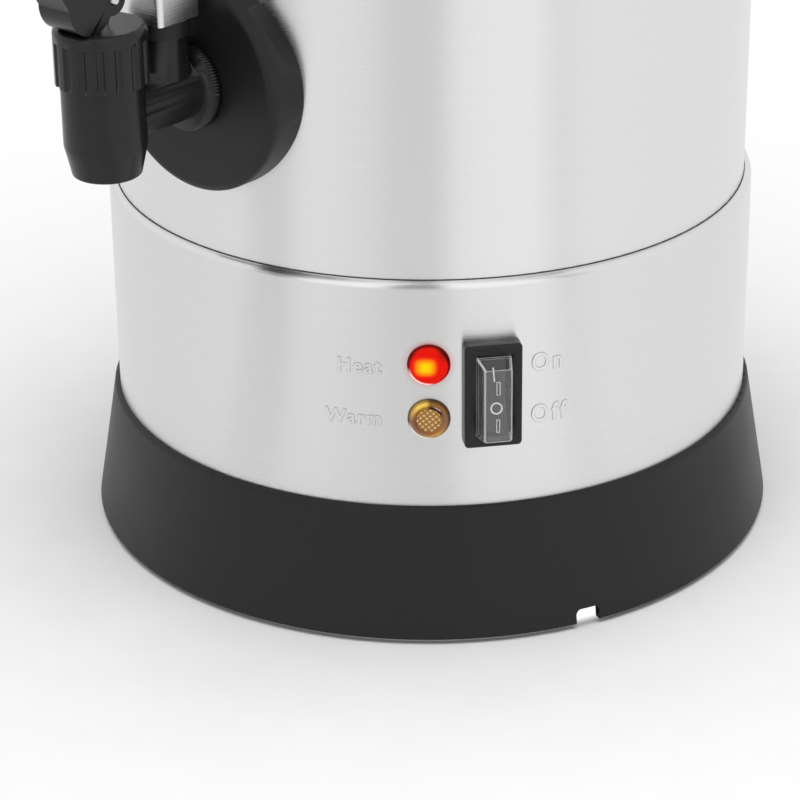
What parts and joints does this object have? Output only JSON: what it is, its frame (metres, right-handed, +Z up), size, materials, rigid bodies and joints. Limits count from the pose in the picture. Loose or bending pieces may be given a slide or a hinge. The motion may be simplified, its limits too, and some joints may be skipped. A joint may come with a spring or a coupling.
{
  "type": "coffee urn",
  "caption": "Free-standing stainless steel coffee urn with a black base ring, rocker switch, indicator lamps, lever tap, sight gauge, side handles and lift-off lid over a brewing basket.",
  "frame": {"origin": "on the floor, on the urn's upright axis", "axes": "+Z up along the urn's axis; the tap faces -Y and the power inlet +Y"},
  "size_m": [0.308, 0.3172, 0.452],
  "materials": {
    "brushed_steel": "fine horizontal brushing, satin",
    "pressed_steel": "smooth pressed stainless sheet",
    "plated_steel": "bright plated fasteners and springs",
    "black_plastic": "fine-grained moulded black",
    "black_gloss_plastic": "smooth moulded black",
    "rubber_black": "soft matt rubber",
    "silicone": "translucent off-white silicone",
    "lens_red": "clear red plastic lens",
    "lens_amber": "clear amber plastic lens",
    "clear_plastic": "clear soft cover",
    "clear_glass": "clear gauge glass",
    "white_plastic": "off-white lamp body",
    "aluminium": "plain aluminium",
    "brass_contact": "bare brass",
    "element_sheath": "heat-dulled tube",
    "thermostat_black": "dark moulding",
    "wire_brown": "brown insulation",
    "wire_blue": "blue insulation",
    "wire_green": "green insulation with a yellow stripe"
  },
  "bodies": {
    "urn": {"base_ring": "black_plastic", "bottom_plate": "pressed_steel", "bottom_screws": "plated_steel", "rubber_feet": "rubber_black", "skirt_shell": "brushed_steel", "skirt_screws": "plated_steel", "skirt_nuts": "plated_steel", "body_shell": "brushed_steel", "tank_floor": "pressed_steel", "lamp_red_lens": "lens_red", "lamp_amber_lens": "lens_amber", "lamp_red_body": "white_plastic", "lamp_amber_body": "white_plastic", "lamp_clips": "plated_steel", "switch_frame": "black_plastic", "switch_pin": "plated_steel", "switch_cover": "clear_plastic", "switch_terminals": "brass_contact", "inlet_bezel": "black_plastic", "power_inlet": "black_plastic", "inlet_pins": "brass_contact", "inlet_screws": "plated_steel", "tap_flange": "black_plastic", "tap_washer": "silicone", "tap_nut": "black_plastic", "tap_body": "black_gloss_plastic", "tap_bonnet": "black_gloss_plastic", "gauge_tube": "clear_glass", "gauge_seals": "silicone", "gauge_nut": "black_plastic", "gauge_guard": "brushed_steel", "gauge_top": "black_plastic", "gauge_top_screw": "plated_steel", "handle_left": "black_plastic", "handle_right": "black_plastic", "handle_screws": "plated_steel", "handle_washers": "silicone", "heater_plate": "aluminium", "heating_element": "element_sheath", "brew_thermostat": "thermostat_black", "keep_warm_thermostat": "thermostat_black", "thermal_fuse": "plated_steel", "wire_live": "wire_brown", "wire_neutral": "wire_blue", "wire_earth": "wire_green"},
    "switch_rocker": {"switch_rocker": "black_gloss_plastic"},
    "tap_valve": {"tap_stem": "plated_steel", "tap_seat_cup": "silicone", "tap_spring": "plated_steel", "tap_lever_pin": "plated_steel"},
    "tap_lever": {"tap_lever": "black_gloss_plastic"},
    "brewing_set": {"riser_tube": "pressed_steel", "pump_foot": "pressed_steel", "riser_collar": "pressed_steel", "brew_basket": "pressed_steel", "basket_cover": "pressed_steel"},
    "lid": {"lid": "brushed_steel", "lid_knob": "black_plastic", "lid_knob_screw": "plated_steel"}
  },
  "joints": [
    {"name": "switch_rock", "type": "hinge", "parent": "urn", "child": "switch_rocker", "pos_m": [0.08509, -0.07128, 0.0881], "axis": [0.6421, 0.7666, 0], "range_deg": [0, 14]},
    {"name": "tap_valve_lift", "type": "slide", "parent": "urn", "child": "tap_valve", "axis": [0, 0, 1], "range_m": [0, 0.0048], "deforming": ["tap_spring"]},
    {"name": "tap_lever_turn", "type": "hinge", "parent": "tap_valve", "child": "tap_lever", "pos_m": [0, -0.1544, 0.224], "axis": [1, 0, 0], "range_deg": [0, 30], "stiffness_Nm_per_rad": 0.12, "springref_deg": -20.05},
    {"name": "brewing_set_lift", "type": "slide", "parent": "urn", "child": "brewing_set", "axis": [0, 0, 1], "range_m": [0, 0.3]},
    {"name": "lid_lift", "type": "slide", "parent": "brewing_set", "child": "lid", "axis": [0, 0, 1], "range_m": [0, 0.12]}
  ],
  "couplings": [
    {"joint": "tap_valve_lift", "follows": "tap_lever_turn", "m_per_rad": 0.009}
  ]
}
